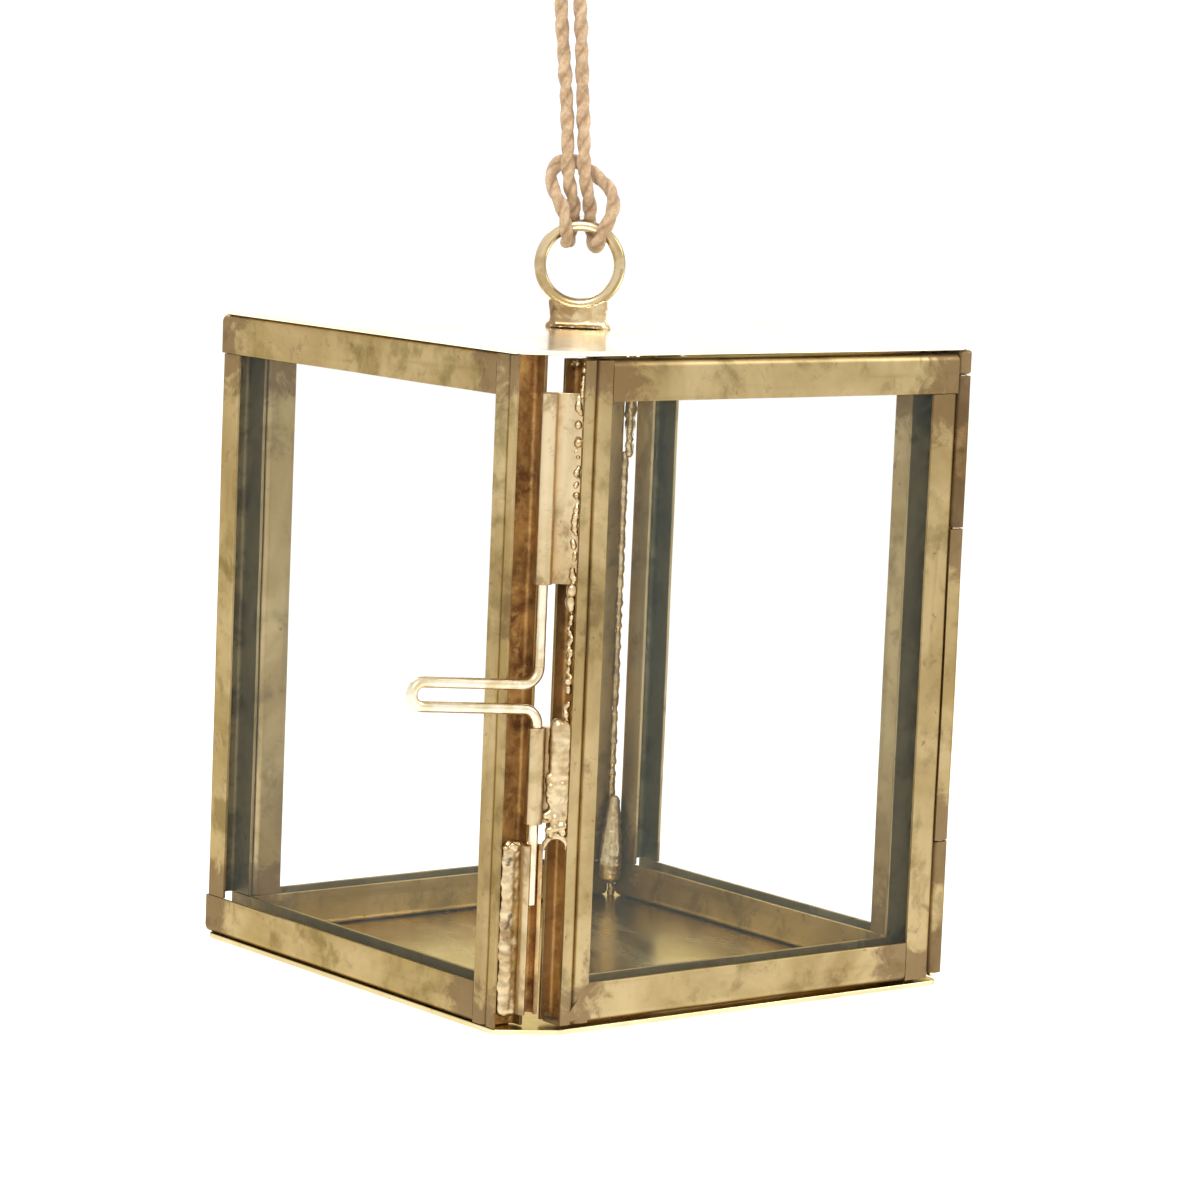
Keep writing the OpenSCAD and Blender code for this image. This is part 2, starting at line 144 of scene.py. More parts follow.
class Shader:
    """A material's node tree with short calls for the nodes it needs."""

    def __init__(self, name):
        self.material = bpy.data.materials.new(name)
        self.material.use_nodes = True
        self.tree = self.material.node_tree
        self.tree.nodes.clear()
        self.out = self.tree.nodes.new("ShaderNodeOutputMaterial")

    def link(self, source, target):
        self.tree.links.new(source, target)

    def place(self, scale=(1, 1, 1)):
        """Object coordinates, stretched by scale."""
        coords = self.tree.nodes.new("ShaderNodeTexCoord")
        mapping = self.tree.nodes.new("ShaderNodeMapping")
        mapping.inputs["Scale"].default_value = scale
        self.link(coords.outputs["Object"], mapping.inputs["Vector"])
        return mapping.outputs["Vector"]

    def stored(self, name, scale=(1, 1, 1)):
        """A vector stored on the mesh, stretched by scale."""
        attribute = self.tree.nodes.new("ShaderNodeAttribute")
        attribute.attribute_name = name
        mapping = self.tree.nodes.new("ShaderNodeMapping")
        mapping.inputs["Scale"].default_value = scale
        self.link(attribute.outputs["Vector"], mapping.inputs["Vector"])
        return mapping.outputs["Vector"]

    def amount(self, name):
        """A number stored on the mesh."""
        attribute = self.tree.nodes.new("ShaderNodeAttribute")
        attribute.attribute_name = name
        return attribute.outputs["Fac"]

    def noise(self, vector, scale, detail=4, rough=0.55, distortion=0.0):
        n = self.tree.nodes.new("ShaderNodeTexNoise")
        n.inputs["Scale"].default_value = scale
        n.inputs["Detail"].default_value = detail
        n.inputs["Roughness"].default_value = rough
        n.inputs["Distortion"].default_value = distortion
        self.link(vector, n.inputs["Vector"])
        return n.outputs["Fac"]

    def ramp(self, value, low, high):
        """0 below low and 1 above high, with an eased step between."""
        n = self.tree.nodes.new("ShaderNodeMapRange")
        n.interpolation_type = "SMOOTHSTEP"
        n.inputs["From Min"].default_value = low
        n.inputs["From Max"].default_value = high
        self.link(value, n.inputs["Value"])
        return n.outputs["Result"]

    def scaled(self, value, low, high):
        """0-1 spread between low and high."""
        n = self.tree.nodes.new("ShaderNodeMapRange")
        n.inputs["To Min"].default_value = low
        n.inputs["To Max"].default_value = high
        self.link(value, n.inputs["Value"])
        return n.outputs["Result"]

    def math(self, kind, a, b):
        n = self.tree.nodes.new("ShaderNodeMath")
        n.operation = kind
        n.use_clamp = True
        for socket, value in zip(n.inputs, (a, b)):
            if isinstance(value, (int, float)):
                socket.default_value = value
            else:
                self.link(value, socket)
        return n.outputs["Value"]

    def mix(self, fac, a, b, blend="MIX"):
        n = self.tree.nodes.new("ShaderNodeMix")
        n.data_type = "RGBA"
        n.blend_type = blend
        factor, first, second = n.inputs[0], n.inputs[6], n.inputs[7]
        for socket, value in ((factor, fac), (first, a), (second, b)):
            if isinstance(value, (int, float)):
                socket.default_value = value
            elif isinstance(value, tuple):
                socket.default_value = (*value, 1)
            else:
                self.link(value, socket)
        return n.outputs[2]

    def bump(self, height, strength, distance, normal=None):
        n = self.tree.nodes.new("ShaderNodeBump")
        n.inputs["Strength"].default_value = strength
        n.inputs["Distance"].default_value = distance
        self.link(height, n.inputs["Height"])
        if normal is not None:
            self.link(normal, n.inputs["Normal"])
        return n.outputs["Normal"]

    def principled(self, **values):
        n = self.tree.nodes.new("ShaderNodeBsdfPrincipled")
        for key, value in values.items():
            socket = n.inputs[key.replace("_", " ")]
            if isinstance(value, (int, float)):
                socket.default_value = value
            elif isinstance(value, tuple):
                socket.default_value = (*value, 1)
            else:
                self.link(value, socket)
        self.link(n.outputs["BSDF"], self.out.inputs["Surface"])
        return n


# ---- materials ----


def brass_sheet(name, light, mid, olive, stain, stain_reach=0.62, rough=(0.3, 0.5)):
    """Rolled brass sheet: mottled tarnish, brown stains, long rolling marks, and grooves,
    flux-coloured on some and dark on others, with painted shade deepening towards their webs.
    """
    s = Shader(name)
    spot = s.place()
    along = s.stored("grain", (18, 260, 260))
    cloud = s.noise(spot, 42, 5, 0.6, 0.6)
    patch = s.noise(spot, 150, 6, 0.65, 0.3)
    speck = s.noise(spot, 620, 3, 0.7)
    roll = s.noise(along, 1, 5, 0.6)
    colour = s.mix(s.ramp(cloud, 0.35, 0.62), light, mid)
    colour = s.mix(s.math("MULTIPLY", s.ramp(patch, 0.5, 0.68), 0.7), colour, olive)
    colour = s.mix(s.math("MULTIPLY", s.ramp(roll, 0.52, 0.72), 0.45), colour, olive)
    smear = s.math("MULTIPLY", s.ramp(cloud, 0.52, 0.7), s.ramp(patch, 0.46, 0.6))
    ends = s.amount("stain")
    reach = s.math("ADD", s.noise(spot, 260, 5, 0.7, 0.5), s.math("MULTIPLY", ends, 0.42))
    brown = s.math("MAXIMUM", smear, s.ramp(reach, stain_reach, stain_reach + 0.2))
    colour = s.mix(s.math("MULTIPLY", brown, 0.68), colour, stain)
    dots = s.math("MULTIPLY", s.ramp(speck, 0.66, 0.74), 0.55)
    colour = s.mix(dots, colour, linear(96, 74, 44))
    # Painted shade: the groove mask is full at each channel's web and fades towards its lips, so the
    # groove colours below darken the deep part of the channel.
    groove = s.amount("recess")
    flux = s.mix(s.ramp(patch, 0.38, 0.64), linear(190, 142, 80), linear(104, 62, 34))
    flux = s.mix(s.math("MULTIPLY", s.ramp(speck, 0.5, 0.7), 0.6), flux, linear(212, 168, 100))
    # The dark tone of the grooves that carry no flux.
    dark_groove_tone = s.mix(s.ramp(patch, 0.42, 0.6), linear(86, 76, 56), linear(132, 118, 84))
    inner = s.mix(s.amount("flux"), dark_groove_tone, flux)
    colour = s.mix(groove, colour, inner)
    dull = s.math("MAXIMUM", s.math("MULTIPLY", brown, 0.7), s.math("MULTIPLY", groove, 0.9))
    uneven = s.math("ADD", s.math("MULTIPLY", patch, 0.55), s.math("MULTIPLY", dull, 0.5))
    marks = s.bump(roll, 0.2, 0.00008)
    normal = s.bump(speck, 0.12, 0.00006, marks)
    s.principled(
        Base_Color=colour,
        Metallic=s.scaled(dull, 1.0, 0.45),
        Specular_Tint=linear(216, 192, 138),
        Roughness=s.scaled(uneven, *rough),
        Normal=normal,
    )
    return s.material


def polished_plate():
    """Polished sheet: fine wandering scratches, pale clouds and a few dark water spots."""
    s = Shader("polished_brass")
    spot = s.place()
    cloud = s.noise(spot, 30, 5, 0.6, 0.8)
    streak = s.noise(s.place((26, 300, 60)), 1, 6, 0.65, 0.4)
    fleck = s.noise(spot, 240, 4, 0.6)
    colour = s.mix(s.ramp(cloud, 0.36, 0.66), linear(254, 251, 238), linear(248, 240, 214))
    streaked = s.math("MULTIPLY", s.ramp(streak, 0.5, 0.75), 0.3)
    colour = s.mix(streaked, colour, linear(240, 228, 194))
    spotted = s.math("MULTIPLY", s.ramp(fleck, 0.72, 0.78), 0.75)
    colour = s.mix(spotted, colour, linear(118, 92, 54))
    s.principled(
        Base_Color=colour,
        Metallic=1.0,
        Roughness=s.scaled(s.ramp(cloud, 0.3, 0.7), 0.1, 0.24),
        Normal=s.bump(streak, 0.1, 0.00006),
    )
    return s.material


def floor_brass():
    """Satin floor sheet with heat clouds, wipe marks and one dark droplet of flux."""
    s = Shader("floor_brass")
    spot = s.place()
    cloud = s.noise(spot, 34, 6, 0.62, 1.0)
    wipe = s.noise(s.place((120, 34, 60)), 1, 4, 0.5, 0.8)
    speck = s.noise(spot, 520, 3, 0.7)
    colour = s.mix(s.ramp(cloud, 0.34, 0.62), linear(232, 216, 174), linear(212, 194, 146))
    colour = s.mix(s.math("MULTIPLY", s.ramp(wipe, 0.5, 0.72), 0.25), colour, linear(184, 164, 116))
    colour = s.mix(s.math("MULTIPLY", s.ramp(speck, 0.66, 0.73), 0.5), colour, linear(88, 70, 44))
    s.principled(
        Base_Color=colour,
        Metallic=1.0,
        Specular_Tint=linear(226, 208, 162),
        Roughness=s.scaled(s.ramp(wipe, 0.3, 0.7), 0.2, 0.3),
        Normal=s.bump(wipe, 0.04, 0.00005),
    )
    return s.material


def drawn_wire(name, light, mid, mark):
    """Drawn wire: glossy, with draw lines and brown handling marks."""
    s = Shader(name)
    spot = s.place()
    patch = s.noise(spot, 210, 5, 0.6, 0.4)
    draw = s.noise(s.stored("grain", (60, 900, 900)), 1, 4, 0.6)
    colour = s.mix(s.ramp(patch, 0.4, 0.66), light, mid)
    colour = s.mix(s.math("MULTIPLY", s.ramp(draw, 0.52, 0.7), 0.6), colour, mark)
    s.principled(
        Base_Color=colour,
        Metallic=1.0,
        Roughness=s.scaled(patch, 0.14, 0.34),
        Normal=s.bump(draw, 0.15, 0.00005),
    )
    return s.material


def solder_metal():
    """Hand-run solder: painted highlight on the crests and painted shade in the hollows, dull crusts
    and patches of brown flux.
    """
    s = Shader("solder")
    spot = s.place()
    lump = s.noise(spot, 420, 5, 0.6, 0.5)
    patch = s.noise(spot, 160, 5, 0.65, 0.6)
    # painted highlight and shade: the colour goes lighter where the lump noise, which is also the
    # bump height, is high
    colour = s.mix(s.ramp(lump, 0.38, 0.6), linear(184, 160, 118), linear(206, 186, 148))
    colour = s.mix(s.math("MULTIPLY", s.ramp(patch, 0.5, 0.66), 0.8), colour, linear(132, 100, 62))
    crust = s.math("MULTIPLY", s.ramp(lump, 0.62, 0.7), s.ramp(patch, 0.42, 0.55))
    colour = s.mix(s.math("MULTIPLY", crust, 0.85), colour, linear(74, 54, 34))
    s.principled(
        Base_Color=colour,
        Metallic=s.scaled(crust, 1.0, 0.3),
        Roughness=s.scaled(patch, 0.18, 0.42),
        Normal=s.bump(lump, 0.25, 0.0001),
    )
    return s.material


def lantern_glass():
    """Clear sheet glass: a faint cool film over what is behind it, thicker where it is smeared."""
    s = Shader("glass")
    smear = s.noise(s.place((60, 60, 14)), 1, 5, 0.6, 1.2)
    dust = s.noise(s.place(), 900, 3, 0.7)
    cloudy = s.math("MULTIPLY", s.ramp(smear, 0.5, 0.8), s.ramp(dust, 0.4, 0.7))
    s.principled(
        Base_Color=s.mix(cloudy, linear(150, 166, 156), linear(196, 206, 198)),
        Roughness=s.scaled(cloudy, 0.03, 0.2),
        IOR=1.46,
        Alpha=s.scaled(cloudy, 0.04, 0.12),
    )
    return s.material


def jute():
    """Twisted jute: straw and tan fibres along the plies, with painted shade in the lay between them.
    """
    s = Shader("jute")
    fibre = s.noise(s.stored("grain", (1100, 4200, 4200)), 1, 5, 0.7, 0.8)
    tone = s.noise(s.place(), 620, 5, 0.7, 0.5)
    colour = s.mix(s.ramp(tone, 0.34, 0.64), linear(204, 174, 138), linear(166, 134, 98))
    pale = s.math("MULTIPLY", s.ramp(fibre, 0.52, 0.72), 0.6)
    colour = s.mix(pale, colour, linear(226, 204, 172))
    colour = s.mix(s.math("MULTIPLY", s.ramp(fibre, 0.48, 0.3), 0.45), colour, linear(136, 102, 70))
    # painted shade in the lay between the plies, from the cord's stored lay depth
    colour = s.mix(s.math("MULTIPLY", s.amount("recess"), 0.75), colour, linear(128, 92, 60))
    s.principled(
        Base_Color=colour,
        Roughness=0.88,
        Sheen_Weight=0.25,
        Sheen_Roughness=0.5,
        Normal=s.bump(fibre, 0.9, 0.0002),
    )
    return s.material


MATERIALS = {
    "frame": brass_sheet(
        "tarnished_brass",
        linear(188, 166, 122), linear(158, 136, 92), linear(124, 108, 68), linear(92, 66, 42),
    ),
    # painted shade: a darker copy of the tarnished brass, for the hinge knuckle that stands in shade
    "hinge": brass_sheet(
        "shaded_brass",
        linear(176, 150, 108), linear(140, 112, 74), linear(108, 88, 56), linear(66, 48, 34),
        stain_reach=0.5,
    ),
    # painted light: a lighter, shinier copy of the tarnished brass, for the latch barrels and keeper
    "knuckle": brass_sheet(
        "lit_brass",
        linear(214, 194, 156), linear(196, 172, 130), linear(164, 144, 100), linear(120, 90, 54),
        rough=(0.24, 0.42),
    ),
    "plate": polished_plate(),
    "floor": floor_brass(),
    "wire": drawn_wire(
        "bright_wire", linear(238, 226, 200), linear(208, 188, 148), linear(160, 130, 84)
    ),
    "ring": drawn_wire(
        "ring_wire", linear(206, 186, 148), linear(174, 150, 108), linear(124, 98, 60)
    ),
    "solder": solder_metal(),
    "glass": lantern_glass(),
    "jute": jute(),
}


# ---- mesh helpers ----


BEVEL_ANGLE = math.radians(50)


def add_piece(name, mesh, material, body, nodes=(), slot=None, sharp=38, bevel=0.0):
    """Puts a mesh into the scene on its body, in place of its CAD nodes."""
    soft = math.radians(sharp)  # edges folded less than this are shaded smooth
    bm = bmesh.new()
    bm.from_mesh(mesh)
    bmesh.ops.recalc_face_normals(bm, faces=bm.faces)
    for face in bm.faces:
        face.smooth = True
    for edge in bm.edges:
        edge.smooth = len(edge.link_faces) == 2 and edge.calc_face_angle(0) < soft
    bm.to_mesh(mesh)
    bm.free()
    mesh.materials.append(MATERIALS[material])
    obj = bpy.data.objects.new(name, mesh)
    bpy.context.scene.collection.objects.link(obj)
    if bevel:
        edge = obj.modifiers.new("edges", "BEVEL")
        edge.width = bevel
        edge.segments = 2
        edge.limit_method = "ANGLE"
        edge.angle_limit = BEVEL_ANGLE
        obj.modifiers.new("shade", "WEIGHTED_NORMAL").keep_sharp = True
    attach(obj, body)
    if nodes:
        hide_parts(*nodes)
    if slot or nodes:
        slot or SLOT_OF[nodes[0]]
    return obj


def store(mesh, name, values, kind="FLOAT"):
    """Keeps one value for each vertex, for the materials to read."""
    attribute = mesh.attributes.new(name, kind, "POINT")
    key = "value" if kind == "FLOAT" else "vector"
    flat = values if kind == "FLOAT" else [c for v in values for c in v]
    attribute.data.foreach_set(key, flat)


def filleted(points, radius, steps=4):
    """An open 2-D path with its inner corners rounded."""
    path = [Vector(points[0])]
    for before, corner, after in zip(points, points[1:], points[2:]):
        before, corner, after = Vector(before), Vector(corner), Vector(after)
        to_before, to_after = (before - corner).normalized(), (after - corner).normalized()
        half = to_before.angle(to_after) / 2
        reach = min(radius / math.tan(half), (before - corner).length / 2)
        centre = corner + (to_before + to_after).normalized() * reach / math.cos(half)
        start, end = corner + to_before * reach - centre, corner + to_after * reach - centre
        for k in range(steps + 1):
            path.append(centre + start.slerp(end, k / steps, start) * start.length)
    path.append(Vector(points[-1]))
    return path


def ribbon(path, thickness):
    """A folded sheet's outline and which of its points face the inside of the fold."""
    left, right = [], []
    for i, p in enumerate(path):
        before, after = path[max(i - 1, 0)], path[min(i + 1, len(path) - 1)]
        d = (after - before).normalized()
        n = Vector((-d.y, d.x)) * thickness / 2
        left.append(p + n)
        right.append(p - n)
    return left + right[::-1], [0.0] * len(left) + [1.0] * len(right)


DENT_SCALE = 70
DENT_DEPTH = 0.05 * MM


def dented(p):
    """How far a thin sheet wanders from its true plane at a point."""
    return noise.noise_vector(p * DENT_SCALE) * DENT_DEPTH


STAIN_LENGTH = 9 * MM  # how far the soldering heat browned a strip from its ends
STAIN_EVERYWHERE = 0.12


def extruded(outline, inside, origin, axes, length, cut=0.0, flux=0.0, step=3 * MM, stain=1.0):
    """Sweeps an outline along the third axis; cut slopes the first end to make a mitre."""
    across, inward, along = axes
    rings = max(2, round(length / step))
    verts, grain, stains = [], [], []
    for k in range(rings + 1):
        for p in outline:
            start = cut * p.x
            run = start + (length - start) * k / rings
            place = origin + across * p.x + inward * p.y + along * run
            verts.append(place + dented(place))
            grain.append((run, p.x, p.y))
            near = min(run, length - run) / STAIN_LENGTH
            stains.append(stain * max(0.0, 1 - near) + STAIN_EVERYWHERE)
    n = len(outline)
    faces = [
        (k * n + i, k * n + (i + 1) % n, (k + 1) * n + (i + 1) % n, (k + 1) * n + i)
        for k in range(rings)
        for i in range(n)
    ]
    faces += [tuple(range(n)), tuple(range(rings * n, rings * n + n))]
    mesh = bpy.data.meshes.new("sheet")
    mesh.from_pydata(verts, [], faces)
    store(mesh, "recess", inside * (rings + 1))
    store(mesh, "flux", [flux] * len(verts))
    store(mesh, "stain", stains)
    store(mesh, "grain", grain, "FLOAT_VECTOR")
    return mesh


def joined(meshes):
    """One mesh made of several, with their stored values."""
    bm = bmesh.new()
    for mesh in meshes:
        bm.from_mesh(mesh)
    whole = bpy.data.meshes.new("joined")
    bm.to_mesh(whole)
    bm.free()
    return whole


def corner_of(node, axes):
    """The corner of a node's box that the three axes start from, and its size along each."""
    lo, hi = (Vector(v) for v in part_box(node))
    corner = Vector([lo[i] if sum(a[i] for a in axes) > 0 else hi[i] for i in range(3)])
    return corner, [abs((hi - lo).dot(a)) for a in axes]


FOLD_R = 0.9 * MM
GROOVE_SHADE_FADE = 0.75  # how far the groove colour fades from its web to its lips: painted shade, deepest inside the channel
# how much flux colour the less-fluxed groove of a double channel takes; the rest is its dark tone
PART_FLUX_GROOVE = 0.3


def channel(node, across, inward, along, double=False, cut=0.0, flux=0.0):
    """A strip folded to a U that holds the glass, or two of them back to back."""
    axes = (across, inward, along)
    corner, (width, depth, length) = corner_of(node, axes)
    depth -= 2 * SKIN
    origin = corner + inward * SKIN + along * SKIN
    half = SHEET / 2
    spans = [(0.0, width, 1)]
    if double:
        spans = [(width / 2, width, 1), (width / 2, 0.0, -1)]
    parts = []
    for back, tip, side in spans:
        web = back + side * half
        path = [(tip, half), (web, half), (web, depth - half), (tip, depth - half)]
        outline, inside = ribbon(filleted(path, FOLD_R), SHEET)
        if side < 0:
            inside = [1.0 - v for v in inside]
        # painted shade: the groove mask is full at the web and fades to a quarter at the lips
        inside = [
            v * (1 - GROOVE_SHADE_FADE * min(1, abs(p.x - web) / abs(tip - web)))
            for v, p in zip(inside, outline)
        ]
        stained = flux if side < 0 or not double else PART_FLUX_GROOVE
        parts.append(
            extruded(outline, inside, origin, axes, length - 2 * SKIN, cut, stained)
        )
    mesh = joined(parts) if double else parts[0]
    add_piece(f"{node}_brass", mesh, "frame", BODY_OF[node], (node,), bevel=0.07 * MM)


def swept(path, radius, sides, shape):
    """A tube along a path; shape(s, angle) scales its radius, and returns it with its hollow."""
    rings = len(path)
    heading = [
        (path[min(i + 1, rings - 1)] - path[max(i - 1, 0)]).normalized() for i in range(rings)
    ]
    side = heading[0].orthogonal().normalized()
    verts, grain, hollow, run = [], [], [], 0.0
    for i, p in enumerate(path):
        if i:
            run += (p - path[i - 1]).length
            side = (side - heading[i] * side.dot(heading[i])).normalized()
        other = heading[i].cross(side)
        for k in range(sides):
            a = 2 * math.pi * k / sides
            scale, deep, turned = shape(run, a)
            out = (side * math.cos(a) + other * math.sin(a)) * radius * scale
            verts.append(p + out)
            grain.append((run, radius * math.cos(turned), radius * math.sin(turned)))
            hollow.append(deep)
    faces = [
        (
            i * sides + k,
            i * sides + (k + 1) % sides,
            (i + 1) * sides + (k + 1) % sides,
            (i + 1) * sides + k,
        )
        for i in range(rings - 1)
        for k in range(sides)
    ]
    faces += [tuple(range(sides)), tuple(range((rings - 1) * sides, rings * sides))]
    mesh = bpy.data.meshes.new("tube")
    mesh.from_pydata(verts, [], faces)
    store(mesh, "recess", hollow)
    store(mesh, "grain", grain, "FLOAT_VECTOR")
    return mesh


def smooth_path(points, steps):
    """A Catmull-Rom curve through the points."""
    last = len(points) - 1
    path = []
    for i in range(last):
        a, b = points[max(i - 1, 0)], points[i]
        c, d = points[i + 1], points[min(i + 2, last)]
        for k in range(steps):
            t = k / steps
            path.append(
                0.5
                * (
                    2 * b
                    + (c - a) * t
                    + (2 * a - 5 * b + 4 * c - d) * t * t
                    + (3 * b - a - 3 * c + d) * t**3
                )
            )
    path.append(points[last])
    return path


# ---- the cord ----

CORD_D = 0.0021
CORD_ROUTE = [
    (-0.0043, 0.0002, 0.0441), (-0.0044, 0.0003, 0.041), (-0.0041, 0.0005, 0.036),
    (-0.0035, 0.0006, 0.030), (-0.0029, 0.0008, 0.024), (-0.0025, 0.0011, 0.018),
    (-0.0023, 0.0012, 0.014), (-0.0017, 0.0008, 0.0105), (-0.0013, -0.0009, 0.0085),
    (-0.0013, -0.0022, 0.0064), (-0.0016, -0.0017, 0.0042), (-0.0019, 0.0, 0.0033),
    (-0.0021, 0.0017, 0.0041), (-0.0023, 0.0024, 0.006), (-0.0030, 0.0024, 0.0086),
    (-0.0043, 0.0016, 0.011), (-0.0047, 0.0002, 0.0132), (-0.0035, -0.0012, 0.015),
    (-0.0016, -0.0016, 0.0152), (0.0004, -0.0015, 0.0142), (0.0023, -0.0008, 0.0128),
    (0.0039, 0.0006, 0.0114), (0.0046, 0.0017, 0.0094), (0.0042, 0.0024, 0.0072),
    (0.0032, 0.0023, 0.005), (0.0025, 0.0013, 0.0032), (0.0021, -0.0004, 0.0029),
    (0.0016, -0.0019, 0.0042), (0.0012, -0.0022, 0.0062), (0.0011, -0.0009, 0.0085),
    (0.0007, 0.0007, 0.0107), (0.0001, 0.0012, 0.014), (-0.0001, 0.0011, 0.018),
    (-0.0005, 0.0008, 0.024), (-0.0009, 0.0006, 0.030), (-0.0013, 0.0005, 0.036),
    (-0.0018, 0.0003, 0.041), (-0.0020, 0.0002, 0.0441),
]
KNOT_FOOT = (-0.00315, 0.0002, 0.0442)
KNOT_H = 0.007
PLIES = 2
LAY = 0.0066  # length of one turn of a ply


def twisted(run, a):
    """Two soft plies laid together: the radius, how deep in the lay a point is, and its angle."""
    turned = a - 2 * math.pi * run / LAY
    lobe = abs(math.sin(PLIES * turned / 2))
    uneven = 0.04 * math.sin(run * 900) + 0.03 * math.sin(run * 2300 + 1)
    return 0.66 + 0.34 * lobe**0.7 + uneven, (1 - lobe) ** 3, turned


HAIR_R = 0.022  # mm


def fibres(path, count, seed, longest):
    """Loose jute hairs that stand off the cord, each a thin bent three-sided spike."""
    rng = random.Random(seed)
    verts, faces = [], []
    for _ in range(count):
        i = rng.randrange(1, len(path) - 2)
        d = (path[i + 1] - path[i]).normalized()
        side = d.orthogonal().normalized()
        out = Matrix.Rotation(rng.uniform(0, 2 * math.pi), 3, d) @ side
        lean = (out * rng.uniform(0.35, 1) + d * rng.uniform(-1, 1)).normalized()
        start = path[i] + out * CORD_D * 0.42
        length = rng.uniform(0.3, 1) * longest
        bend = Vector((rng.uniform(-1, 1), rng.uniform(-1, 1), rng.uniform(-1, 1))) * length * 0.3
        cross = lean.cross(d).normalized() * HAIR_R * MM
        base = len(verts)
        for t in (0.0, 0.5, 1.0):
            p = start + lean * length * t + bend * t * t
            thin = 1 - 0.7 * t
            verts += [p + cross * thin, p - cross * thin, p + lean.cross(cross) * 1.2 * thin]
        for k in (0, 3):
            for j in range(3):
                m = (j + 1) % 3
                faces.append((base + k + j, base + k + m, base + k + 3 + m, base + k + 3 + j))
        faces.append((base + 6, base + 7, base + 8))
        faces.append((base + 2, base + 1, base))
    mesh = bpy.data.meshes.new("fibres")
    mesh.from_pydata(verts, [], faces)
    store(mesh, "recess", [0.0] * len(verts))
    store(mesh, "grain", [tuple(v) for v in verts], "FLOAT_VECTOR")
    return mesh


KNOT_HALF_TURNS = 2.15
KNOT_STEPS = 24
KNOT_WRAP_R = 2.45 * MM
KNOT_WRAP_Z = 1.5 * MM


def knot_path():
    """One strand's overhand turn round the knot, from the knot's foot."""
    points = []
    for k in range(KNOT_STEPS + 1):
        t = k / KNOT_STEPS * KNOT_HALF_TURNS * math.pi
        r = KNOT_WRAP_R * (0.82 + 0.2 * math.cos(1.5 * t))
        rise = KNOT_H * 0.3 * (1 + math.sin(1.5 * t)) * 0.75
        points.append((r * math.cos(t) * 1.05, r * math.sin(t), KNOT_WRAP_Z + rise))
    return points


KNOT_TAIL = ((1.0, 0.5, 6.2), (1.3, 0.2, 8.4), (1.35, -0.1, 10.8), (1.25, 0.1, 13.2))


def make_cord():
    """The doubled cord with its hitch, the knot that closes it, and their loose hairs."""
    route = [placed(p) for p in CORD_ROUTE]
    path = smooth_path(route, 8)
    mesh = swept(path, CORD_D / 2, 18, twisted)
    cord = add_piece("jute_cord", mesh, "jute", ROOT, ("hanging_cord",), sharp=80)
    foot = placed(KNOT_FOOT)
    turn = Matrix.Rotation(RING_TURN, 3, "Z")
    parts = []
    for side in (-1, 1):
        wrap = [foot + turn @ Vector((side * x, side * y, z)) for x, y, z in knot_path()]
        entry = foot + turn @ Vector((side * 1.15 * MM, 0, 0.2 * MM))
        tail = [
            foot + turn @ Vector((side * x * MM, y * MM, z * MM)) for x, y, z in KNOT_TAIL
        ]
        line = smooth_path([entry] + wrap + tail, 4)
        parts.append(swept(line, CORD_D / 2, 16, twisted))
        parts.append(fibres(line, 90, 5 + side, 1.1 * MM))
    knot = add_piece("jute_knot", joined(parts), "jute", ROOT, ("cord_knot",), sharp=80)
    hairs = add_piece(
        "jute_fibres", fibres(path, 420, 11, 1.3 * MM), "jute", ROOT, slot="jute", sharp=80
    )
    length = sum((b - a).length for a, b in zip(path, path[1:]))
    tuple(path[0])
    [tuple(p) for p in path]


make_cord()


# ---- roof, floor and ring ----


RIPPLE_SCALE = 45
RIPPLE_DEPTH = 0.05 * MM


def plate(node, material, sag):
    """A thin sheet with soft corners, its front-left corner cut back, and a slight hollow."""
    lo, hi = (Vector(v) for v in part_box(node))
    lo, hi = lo + Vector((SKIN, SKIN, 0)), hi - Vector((SKIN, SKIN, 0))
    post_y, door_x = 4.7 * MM, 8.5 * MM  # how far the cut-back corner reaches
    round_r, cut_r = 2, 1.5
    corners = [
        ((lo.x + door_x, lo.y), round_r), ((hi.x, lo.y), round_r), ((hi.x, hi.y), round_r),
        ((lo.x, hi.y), round_r), ((lo.x, lo.y + post_y), cut_r),
    ]
    outline = []
    for i, (c, r) in enumerate(corners):
        before, after = corners[i - 1][0], corners[(i + 1) % len(corners)][0]
        outline += filleted([before, c, after], r * MM, 5)[1:-1]
    rows = 20
    middle = Vector(((lo.x + hi.x) / 2, (lo.y + hi.y) / 2))
    rings = [i / rows for i in range(1, rows + 1)]
    verts, faces = [], []
    for top in (True, False):
        base = len(verts)
        z = hi.z if top else lo.z
        span = (hi - lo).length / 2
        for f in rings:
            for p in outline:
                q = middle + (p - middle) * f
                dip = sag * (1 - min(1.0, ((q - middle).length / span)) ** 2)
                wave = noise.noise(Vector((q.x, q.y, z)) * RIPPLE_SCALE)
                ripple = wave * RIPPLE_DEPTH - RIPPLE_DEPTH
                verts.append((q.x, q.y, z - dip + (ripple if top else -ripple)))
        verts.append((middle.x, middle.y, z - sag))
        n, centre = len(outline), len(verts) - 1
        for k in range(rows - 1):
            for i in range(n):
                j = (i + 1) % n
                row, next_row = base + k * n, base + (k + 1) * n
                faces.append((row + i, row + j, next_row + j, next_row + i))
        faces += [(centre, base + i, base + (i + 1) % n) for i in range(n)]
        edge = base + (rows - 1) * n
        if top:
            upper = edge
        else:
            faces += [
                (upper + i, upper + (i + 1) % n, edge + (i + 1) % n, edge + i) for i in range(n)
            ]
    mesh = bpy.data.meshes.new("plate")
    mesh.from_pydata(verts, [], faces)
    add_piece(f"{node}_sheet", mesh, material, ROOT, (node,), sharp=50, bevel=0.12 * MM)


RING_R = 5.85 * MM
RING_WIRE_R = 0.9 * MM
RING_STEPS = 96
WIRE_SIDES = 16


